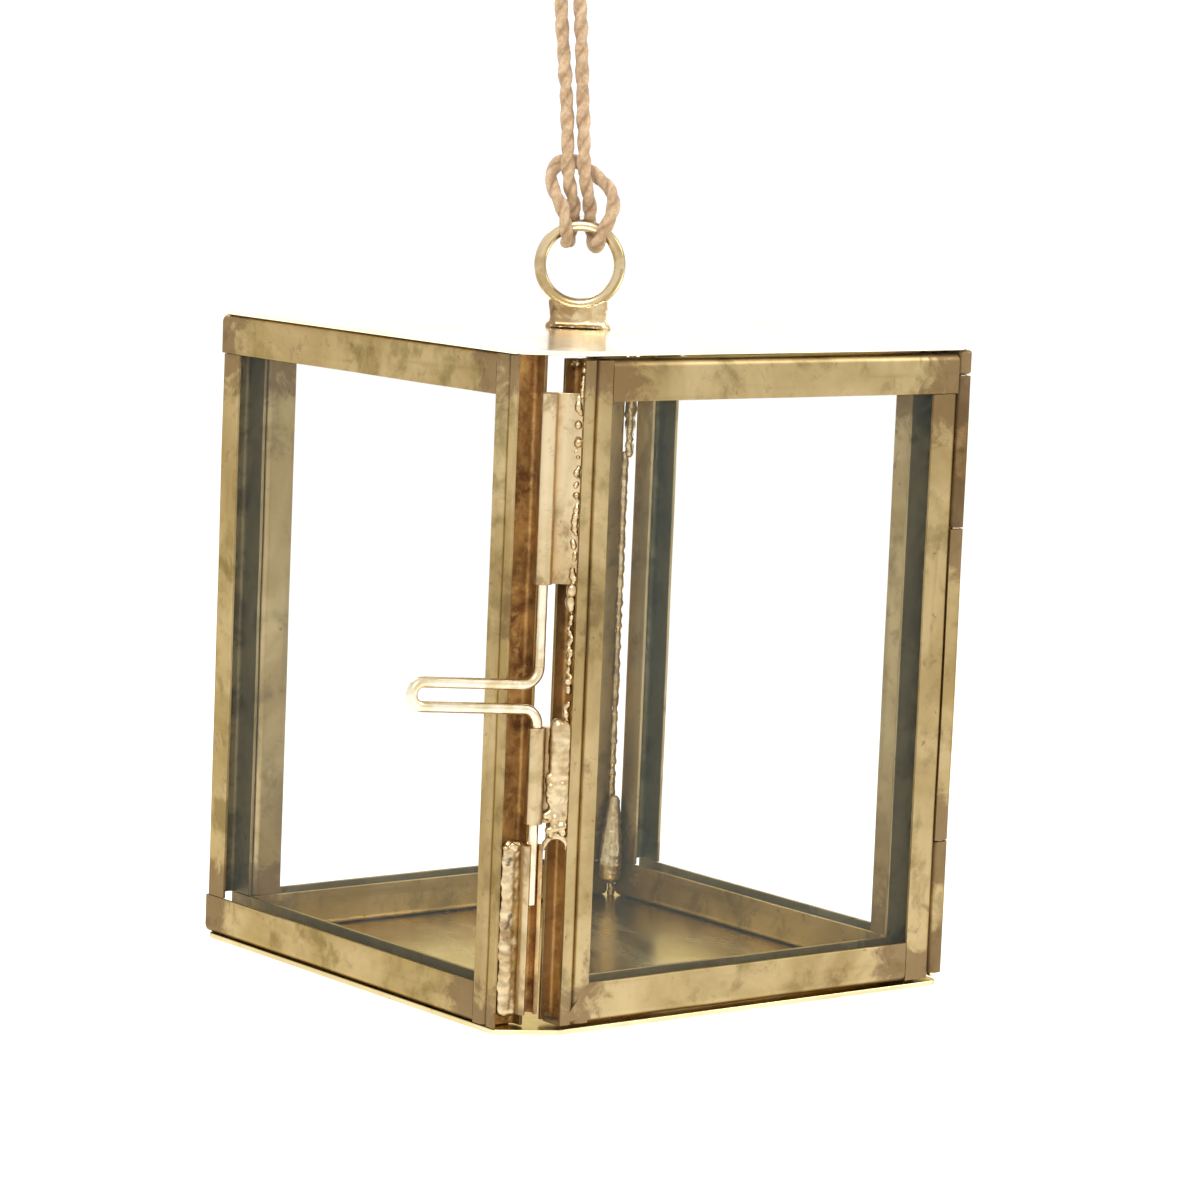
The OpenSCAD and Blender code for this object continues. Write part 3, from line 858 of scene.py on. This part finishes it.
def make_ring():
    """The hand-closed ring, not quite round."""
    verts, faces, grain = [], [], []
    for i in range(RING_STEPS):
        a = 2 * math.pi * i / RING_STEPS
        r = RING_R + 0.03 * MM * math.sin(2 * a + 1)
        for k in range(WIRE_SIDES):
            b = 2 * math.pi * k / WIRE_SIDES
            dent = noise.noise(Vector((3 * math.cos(a), 3 * math.sin(a), b)))
            w = RING_WIRE_R * (0.98 + 0.015 * dent)
            reach = r + w * math.cos(b)
            verts.append(placed((reach * math.cos(a), w * math.sin(b), reach * math.sin(a))))
            grain.append((RING_R * a, w * math.cos(b), w * math.sin(b)))
    for i in range(RING_STEPS):
        for k in range(WIRE_SIDES):
            j, m = (i + 1) % RING_STEPS, (k + 1) % WIRE_SIDES
            row, next_row = i * WIRE_SIDES, j * WIRE_SIDES
            faces.append((row + k, row + m, next_row + m, next_row + k))
    mesh = bpy.data.meshes.new("ring")
    mesh.from_pydata(verts, [], faces)
    store(mesh, "grain", grain, "FLOAT_VECTOR")
    add_piece("hanging_ring_wire", mesh, "ring", ROOT, ("hanging_ring",))


def unit_ball():
    """The points and faces of a ball of radius 1."""
    bm = bmesh.new()
    bmesh.ops.create_icosphere(bm, subdivisions=2, radius=1)
    bm.verts.index_update()
    points = [v.co.copy() for v in bm.verts]
    faces = [[v.index for v in face.verts] for face in bm.faces]
    bm.free()
    return points, faces


BALL_POINTS, BALL_FACES = unit_ball()


MELT_VOXEL = 0.16 * MM
MELT_ROUGH = 0.09
MELT_SCALE = 900


def fused(name, blobs, body, nodes=(), soften=3):
    """Melts overlapping ellipsoids, each (centre, radii), into one lumpy run of solder."""
    verts, faces = [], []
    for centre, radii in blobs:
        base = len(verts)
        verts += [centre + Vector([c * r for c, r in zip(p, radii)]) for p in BALL_POINTS]
        faces += [[base + i for i in face] for face in BALL_FACES]
    raw = bpy.data.meshes.new("raw")
    raw.from_pydata(verts, [], faces)
    obj = bpy.data.objects.new("raw", raw)
    bench = bpy.data.scenes.new("bench")
    bench.collection.objects.link(obj)
    fuse = obj.modifiers.new("fuse", "REMESH")
    fuse.mode = "VOXEL"
    fuse.voxel_size = MELT_VOXEL
    relax = obj.modifiers.new("relax", "SMOOTH")
    relax.iterations = soften
    with bpy.context.temp_override(scene=bench, view_layer=bench.view_layers[0]):
        graph = bpy.context.evaluated_depsgraph_get()
    mesh = bpy.data.meshes.new_from_object(obj.evaluated_get(graph))
    bpy.data.objects.remove(obj)
    bpy.data.scenes.remove(bench)
    lumps = [(v.co.copy(), v.normal.copy()) for v in mesh.vertices]
    lumpy = [
        co + normal * noise.noise(co * MELT_SCALE) * MELT_ROUGH * MM for co, normal in lumps
    ]
    mesh.vertices.foreach_set("co", [c for p in lumpy for c in p])
    store(mesh, "grain", lumpy, "FLOAT_VECTOR")
    add_piece(name, mesh, "solder", body, nodes, slot="solder", sharp=85)


def bead_run(rng, start, end, size, gap=0.75, drift=0.16):
    """Uneven beads of solder from one point to another; size and drift in millimetres."""
    length = (end - start).length
    count = max(2, round(length / (size * gap * 2 * MM)))
    for i in range(count + 1):
        t = min(1.0, max(0.0, (i + rng.uniform(-0.3, 0.3)) / count))
        r = size * rng.uniform(0.62, 1.15) * MM
        jitter = Vector([rng.uniform(-drift, drift) for _ in range(3)]) * MM
        yield start.lerp(end, t) + jitter, (r, r, r * rng.uniform(0.8, 1.5))


plate("roof_plate", "plate", 0.15 * MM)
plate("floor_plate", "floor", 0.0)
make_ring()


def ring_foot():
    """The ring's foot: a filled web up to the wire, spreading thin on the roof."""
    lo, hi = (Vector(v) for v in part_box("ring_solder"))
    rise = (hi.z - lo.z) / MM
    rng = random.Random(7)
    blobs, rows = [], 14
    for k in range(rows + 1):
        z = rise * k / rows
        flare = math.exp(-z / 0.5)
        half = 3.35 + 0.55 * flare + 0.25 * (z / rise) ** 2
        thick = 0.95 + 0.55 * flare
        for i in range(17):
            u = half * (i - 8) / 8 * rng.uniform(0.97, 1.03)
            saddle = 5.0 - math.sqrt(max(0.0, 25 - u * u))  # the ring's own curve above the web
            if z > rise - 0.75 + saddle * 0.6:
                continue
            blobs.append(
                (placed((u * MM, 0, lo.z + z * MM)), (0.7 * MM, thick * MM, 0.55 * MM))
            )
    for i in range(14):
        a = 2 * math.pi * i / 14
        reach = rng.uniform(0.85, 1.0)
        p = placed((3.9 * reach * MM * math.cos(a), 1.5 * MM * math.sin(a), lo.z + 0.08 * MM))
        blobs.append((p, (0.95 * MM, 0.95 * MM, 0.2 * MM)))
    fused("ring_foot_solder", blobs, ROOT, ("ring_solder",), soften=10)


ring_foot()


# ---- glazed frames ----

FRAMES = {
    # side: the direction its rails run in, and the one into the lantern
    "left": (-Y, X),
    "back": (-X, -Y),
    "right": (Y, -X),
    "door": (X, Y),
}


def glaze(node, across, inward):
    """A hand-cut pane, its edges a little ragged."""
    axes = (across, inward, Z)
    corner, (width, depth, height) = corner_of(node, axes)
    rng = random.Random(node)
    outline, count = [], 26
    sides = ((0, 0, 1, 0), (1, 0, 0, 1), (1, 1, -1, 0), (0, 1, 0, -1))
    for x0, y0, dx, dy in sides:
        for i in range(count):
            t = i / count
            chip = rng.uniform(0, 0.22) * MM if i else 0.1 * MM
            x, y = (x0 + dx * t) * width, (y0 + dy * t) * height
            x += chip if dy < 0 else -chip if dy > 0 else 0
            y += chip if dx > 0 else -chip if dx < 0 else 0
            outline.append((x, y))
    n = len(outline)
    verts = [corner + across * x + inward * d + Z * y for d in (0.0, depth) for x, y in outline]
    faces = [tuple(range(n)), tuple(range(n, 2 * n))]
    faces += [(i, (i + 1) % n, n + (i + 1) % n, n + i) for i in range(n)]
    mesh = bpy.data.meshes.new("pane")
    mesh.from_pydata(verts, [], faces)
    add_piece(f"{node}_pane", mesh, "glass", BODY_OF[node], (node,), sharp=20)


RAIL_W = 5.8
STILE_W = 4.8
MITRE = STILE_W / RAIL_W

for side, (across, inward) in FRAMES.items():
    channel(f"{side}_top_rail", -Z, inward, across)
    channel(f"{side}_bottom_rail", Z, inward, across, cut=MITRE if side == "door" else 0.0)
    glaze(f"{side}_glass", across, inward)

channel("left_rear_stile", -Y, X, Z)
channel("left_front_stile", Y, X, Z, double=True, flux=1.0)
channel("back_right_stile", -X, -Y, Z)
channel("back_left_stile", X, -Y, Z)
channel("right_front_stile", Y, -X, Z)
channel("right_rear_stile", -Y, -X, Z)
channel("door_hinge_stile", -X, Y, Z)
channel("door_latch_stile", X, Y, Z, double=True, flux=1.0)


# ---- hinge ----

KNUCKLE_T = 0.38 * MM
END_GAP = 0.03 * MM  # between a knuckle's end and its CAD solid's


def rolled_path(radius, leaf):
    """A strip rolled round a pin, with its leaf running off tangentially along +x."""
    arc = [math.radians(a) for a in range(90, 411, 16)]
    return [Vector((leaf, radius)), Vector((leaf / 2, radius))] + [
        Vector((radius * math.cos(a), radius * math.sin(a))) for a in arc
    ]


def knuckle(node, axis, across, inward, od, leaf, material="frame", stain=1.6):
    """A rolled knuckle on its axis, as tall as its CAD node."""
    lo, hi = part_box(node)
    outline, outer = ribbon(rolled_path((od - KNUCKLE_T) / 2, leaf), KNUCKLE_T)
    inside = [1.0 - v if i > 1 else 0.0 for i, v in enumerate(outer)]
    origin = Vector((axis.x, axis.y, lo[2] + END_GAP))
    height = hi[2] - lo[2] - 2 * END_GAP
    mesh = extruded(
        outline, inside, origin, (across, inward, Z), height, flux=1.0, step=2 * MM, stain=stain
    )
    add_piece(f"{node}_barrel", mesh, material, BODY_OF[node], (node,), bevel=0.06 * MM)


HINGE = at(39.4, -38.0, 0)
HINGE_OD = 2.7 * MM
FIXED_LEAF = 8.4 * MM
DOOR_LEAF = 1.75 * MM
# the upper hinge knuckle takes the darker copy of the brass, painted shade
knuckle("hinge_knuckle_upper", HINGE, Y, X, HINGE_OD, FIXED_LEAF, "hinge")
knuckle("hinge_knuckle_lower", HINGE, Y, X, HINGE_OD, FIXED_LEAF, "frame", 2.2)
knuckle("door_hinge_knuckle", HINGE, -X, -Y, HINGE_OD, DOOR_LEAF)


ROD_SIDES = 20


def hinge_pin():
    """The pin, its foot peened over a little."""
    lo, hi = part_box("hinge_pin")
    radius = (hi[0] - lo[0]) / 2
    rows = 40
    path = [
        Vector((HINGE.x, HINGE.y, lo[2] + (hi[2] - lo[2]) * i / rows)) for i in range(rows + 1)
    ]

    def peened(run, a):
        """The radius, narrowed over the first millimetre, with light hammer marks."""
        marks = 0.02 * abs(math.sin(3 * a + run * 300))
        return 0.9 + 0.1 * min(1, run / MM) ** 0.5 - marks, 0, a

    mesh = swept(path, radius, ROD_SIDES, peened)
    add_piece("hinge_pin_rod", mesh, "wire", ROOT, ("hinge_pin",), bevel=0.1 * MM)


def corner_cap():
    """The round-cornered block under the roof above the hinge."""
    lo, hi = (Vector(v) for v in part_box("corner_cap"))
    gap = 0.05 * MM
    r = (hi.x - lo.x) / 2 - gap
    arc = [math.radians(a) for a in range(180, 361, 15)]
    outline = [Vector((HINGE.x + r * math.cos(a), HINGE.y + r * math.sin(a))) for a in arc]
    outline += [Vector((HINGE.x + r, hi.y)), Vector((HINGE.x - r, hi.y))]
    mesh = extruded(
        outline, [0.0] * len(outline), Vector((0, 0, lo.z + 2 * gap)), (X, Y, Z),
        hi.z - lo.z - 3 * gap, step=0.6 * MM,
    )
    add_piece("corner_cap_block", mesh, "frame", ROOT, ("corner_cap",), bevel=0.35 * MM)


hinge_pin()
corner_cap()


# ---- latch ----

LATCH = at(-35.4, -36.5, 0)
LEAF_TURN = math.radians(-40)
LEAF_OUT = Vector((math.cos(LEAF_TURN), math.sin(LEAF_TURN), 0))
LEAF_BACK = Vector((-math.sin(LEAF_TURN), math.cos(LEAF_TURN), 0))
LATCH_OD = 2.58 * MM
LATCH_LEAF = 4.8 * MM
LATCH_STAIN = 0.35
# the latch knuckles take the lighter copy of the brass, painted light
for node in ("latch_knuckle_upper", "latch_knuckle_lower"):
    knuckle(node, LATCH, LEAF_OUT, LEAF_BACK, LATCH_OD, LATCH_LEAF, "knuckle", LATCH_STAIN)


def latch_keeper():
    """A strip rolled almost shut round the wire's foot, open towards the front."""
    lo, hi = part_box("latch_keeper")
    radius, thick = 1.27 * MM, 0.6 * MM
    arc = [math.radians(a) for a in range(-52, 233, 12)]
    path = [Vector((radius * math.cos(a), radius * math.sin(a))) for a in arc]
    outline, inside = ribbon(path[::-1], thick)
    gap = 0.05 * MM
    origin = Vector((LATCH.x, LATCH.y, lo[2] + gap))
    height = hi[2] - lo[2] - 2 * gap
    mesh = extruded(
        outline, inside, origin, (X, Y, Z), height, flux=1.0, step=2 * MM, stain=0.6
    )
    # the keeper takes the lighter copy of the brass, painted light
    add_piece("latch_keeper_barrel", mesh, "knuckle", ROOT, ("latch_keeper",), bevel=0.08 * MM)


WIRE_R = 0.8 * MM
HANDLE_Z = -48.1
HANDLE_TURN = math.radians(174.5)
HANDLE_TILT = math.radians(4)
HANDLE_REACH = 21
HANDLE_LEG = 1.7
HANDLE_BEND = 2.4
HANDLE_RISE = (HANDLE_LEG + HANDLE_BEND) / math.cos(HANDLE_TILT)
HANDLE_STEP = 0.8 * MM


def drawn(run, a):
    """The wire's slight flats and tool marks."""
    return 0.985 + 0.015 * math.sin(3 * a + run * 500) * math.sin(run * 1400), 0, a


def latch_shank():
    """The wire's straight runs above and below its hairpin."""
    lo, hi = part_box("latch_shank")
    rise = HANDLE_RISE
    parts = []
    for z0, z1 in ((lo[2], at(0, 0, HANDLE_Z - rise).z), (at(0, 0, HANDLE_Z + rise).z, hi[2])):
        rows = round((z1 - z0) / MM)
        line = [Vector((LATCH.x, LATCH.y, z0 + (z1 - z0) * i / rows)) for i in range(rows + 1)]
        parts.append(swept(line, WIRE_R, ROD_SIDES, drawn))
    body = BODY_OF["latch_shank"]
    add_piece("latch_shank_wire", joined(parts), "wire", body, ("latch_shank",), bevel=0.04 * MM)


def latch_handle():
    """The hairpin, bent by hand out of the latch wire."""
    rise = HANDLE_RISE
    tip = HANDLE_REACH - HANDLE_LEG - WIRE_R / MM
    tip_x = tip * math.cos(HANDLE_TILT)
    tip_z = (tip - HANDLE_BEND) * math.sin(HANDLE_TILT)

    def arc(cx, cz, r, first, last, steps):
        for k in range(steps + 1):
            a = math.radians(first + (last - first) * k / steps)
            yield cx + r * math.cos(a), cz + r * math.sin(a)

    tilt = math.degrees(HANDLE_TILT)
    line = [(0, rise), (0, rise - 0.1)]
    line += arc(HANDLE_BEND, rise, HANDLE_BEND, 190, 270 + tilt, 8)
    line += arc(tip_x, tip_z, HANDLE_LEG, 90 + tilt, -90 + tilt, 14)
    line += arc(HANDLE_BEND, -rise, HANDLE_BEND, 90 + tilt, 170, 8)
    line += [(0, 0.1 - rise), (0, -rise)]
    out = Vector((math.cos(HANDLE_TURN), math.sin(HANDLE_TURN), 0))
    middle = LATCH + Z * HANDLE_Z * MM
    points = [middle + (out * x + Z * z) * MM for x, z in line]
    path = []
    for a, b in zip(points, points[1:]):
        pieces = max(1, round((b - a).length / HANDLE_STEP))
        path += [a.lerp(b, k / pieces) for k in range(pieces)]
    path.append(points[-1])
    mesh = swept(path, WIRE_R, ROD_SIDES, drawn)
    body = BODY_OF["latch_handle"]
    add_piece("latch_handle_wire", mesh, "wire", body, ("latch_handle",), sharp=60)


latch_keeper()
latch_shank()
latch_handle()


# ---- solder ----


def keeper_saddle():
    """The solder that beds the keeper in the left frame's outer channel."""
    rng = random.Random(21)
    blobs = []
    for i in range(16):
        z = -69.9 - i * 1.48
        wide = rng.uniform(1.5, 1.8)
        blobs.append((at(-37.8, -34.5, z), (wide * MM, 1.2 * MM, 1.7 * MM)))
        low = rng.uniform(0.75, 1.0)
        blobs.append((at(-36.8, -34.9, z), (1.1 * MM, low * MM, 1.5 * MM)))
    fused("keeper_bed_solder", blobs, ROOT, ("keeper_saddle",), soften=10)
    crest = list(bead_run(rng, at(-39.0, -35.2, -69.3), at(-37.0, -35.7, -69.5), 0.6, 0.5))
    fused("keeper_crest_solder", crest, ROOT)


def rear_solder():
    """Runs of solder that close the rear corner above and below its slot."""
    rng = random.Random(33)
    for part, z0, z1 in (("upper", -1.6, -23.4), ("lower", -79.8, -94.6)):
        blobs = list(bead_run(rng, at(34.6, 34.3, z0), at(34.6, 34.3, z1), 0.95, 0.4))
        blobs += list(bead_run(rng, at(34.1, 33.7, z0), at(34.1, 33.7, z1), 0.6, 0.5))
        if part == "lower":
            for i in range(30):
                t = i / 29
                r = (0.95 + 0.75 * t + 0.35 * math.sin(2.6 * t)) * rng.uniform(0.94, 1.06) * MM
                back = 0.4 + 1.3 * t
                blobs.append((at(34.0 - back, 33.6 - back, -79.4 - 11.6 * t), (r, r, r)))
        fused(f"rear_corner_solder_{part}", blobs, ROOT, (f"rear_solder_{part}",), soften=6)


def slot_rim():
    """A smooth run of solder that rounds the rear stile's edge along the slot."""
    rng = random.Random(51)
    x, y, top, foot = 33.95, 34.45, -23.5, -79.5
    line = bead_run(rng, at(x, y, top), at(x, y, foot), 0.66, 0.25, 0.04)
    fused("rear_slot_rim", list(line), ROOT, soften=14)


LIP_RUNS = (  # top and foot of each run of beads, and the beads' size, in millimetres
    (-6.5, -13, 0.7), (-14, -22, 0.5), (-22, -33, 0.6), (-33.5, -36, 0.75),
    (-37, -45, 0.5), (-45.5, -47, 0.7), (-49, -52.5, 0.55),
)
FRONT = -39.5  # the door's front face
LEAF_FALL = 0.78  # how fast the leaf comes forward towards the lip


def latch_solder():
    """The beaded seam down the door's front lip, and the heavy blob on the lower knuckle."""
    rng = random.Random(14)
    lip, lip_x, lip_y = [], -31.5, -38.3
    for z0, z1, size in LIP_RUNS:
        lip += list(bead_run(rng, at(lip_x, lip_y, z0), at(lip_x, lip_y, z1), size, 0.75, 0.3))
    fused("door_lip_solder", lip, DOOR)
    blob = []
    for i in range(12):
        z = -52.9 - i * 1.05
        swell = 1.25 - 0.05 * abs(i - 2)
        blob.append((at(-32.9, -38.0, z), (swell * MM, swell * MM, 1.9 * MM)))
        blob.append((at(-31.9, -38.6, z), (0.85 * MM, 0.85 * MM, 1.6 * MM)))
    for i in range(26):
        z = -59 - 8.6 * i / 25
        x = -33.1 + rng.uniform(-0.9, 1.1)
        r = rng.uniform(0.35, 0.75) * MM
        y = -37.7 - LEAF_FALL * (x + 33.1) + rng.uniform(-0.8, -0.3)
        blob.append((at(x, max(y, r / MM + FRONT), z), (r, r, r)))
    for k in range(9):
        a = math.radians(20 + 140 * k / 8)
        x = -32.5 + 1.5 * math.cos(a)
        y = max(-38.1 - LEAF_FALL * (x + 32.5), 0.5 + FRONT)
        blob.append((at(x, y, -70.4 + 2.6 * math.sin(a)), (0.5 * MM,) * 3))
    fused("latch_blob_solder", blob, DOOR, soften=8)
    corner = list(bead_run(rng, at(-31.3, -38.85, -1.8), at(-31.5, -38.85, -6.5), 0.4, 1.1))
    corner += list(bead_run(rng, at(-30.4, -36.4, -1.9), at(-30.2, -34.9, -2.2), 0.5))
    fused("door_corner_solder", corner, DOOR)


keeper_saddle()
rear_solder()
slot_rim()
latch_solder()


# ---- surroundings ----


FLOOR_DROP = 0.30
FLOOR_HALF = 8


def surroundings():
    """A plain pale floor well below the lantern."""
    white = Shader("studio_white")
    speck = white.noise(white.place(), 3, 3)
    white.principled(
        Base_Color=white.mix(speck, linear(250, 250, 250), linear(254, 254, 254)), Roughness=0.9
    )
    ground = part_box("floor_plate")[0][2] - FLOOR_DROP
    bm = bmesh.new()
    bmesh.ops.create_grid(bm, x_segments=2, y_segments=2, size=FLOOR_HALF)
    for v in bm.verts:
        v.co.z = ground
    mesh = bpy.data.meshes.new("studio_floor")
    bm.to_mesh(mesh)
    bm.free()
    mesh.materials.append(white.material)
    obj = bpy.data.objects.new("studio_floor", mesh)
    bpy.context.scene.collection.objects.link(obj)
    obj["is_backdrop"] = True


LIT_POINT = Vector((0, 0, -0.05))


def soft_light(name, place, size, power):
    """A round studio lamp turned towards the lantern."""
    lamp = bpy.data.lights.new(name, "AREA")
    lamp.shape = "DISK"
    lamp.size = size
    lamp.energy = power
    obj = bpy.data.objects.new(name, lamp)
    place = Vector(place)
    turn = (LIT_POINT - place).to_track_quat("-Z", "Y")
    obj.matrix_world = Matrix.Translation(place) @ turn.to_matrix().to_4x4()
    bpy.context.scene.collection.objects.link(obj)


SKY_STRENGTH = 1.15


def sky():
    """Even white light from all round."""
    world = bpy.data.worlds.new("studio")
    bpy.context.scene.world = world
    world.use_nodes = True
    background = world.node_tree.nodes["Background"]
    background.inputs["Color"].default_value = (1, 1, 1, 1)
    background.inputs["Strength"].default_value = SKY_STRENGTH


surroundings()
sky()
soft_light("key", (-1.1, -1.2, 1.5), 0.9, 26)
soft_light("fill", (1.4, -0.7, 0.8), 0.8, 9)
soft_light("back", (0.3, 1.6, 1.1), 0.8, 10)
bpy.context.scene.view_settings.view_transform = "Standard"

boxes = {"cad": CAD_BOX, "visual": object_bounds()}
{k: [[float(c) for c in v] for v in b] for k, b in boxes.items()}
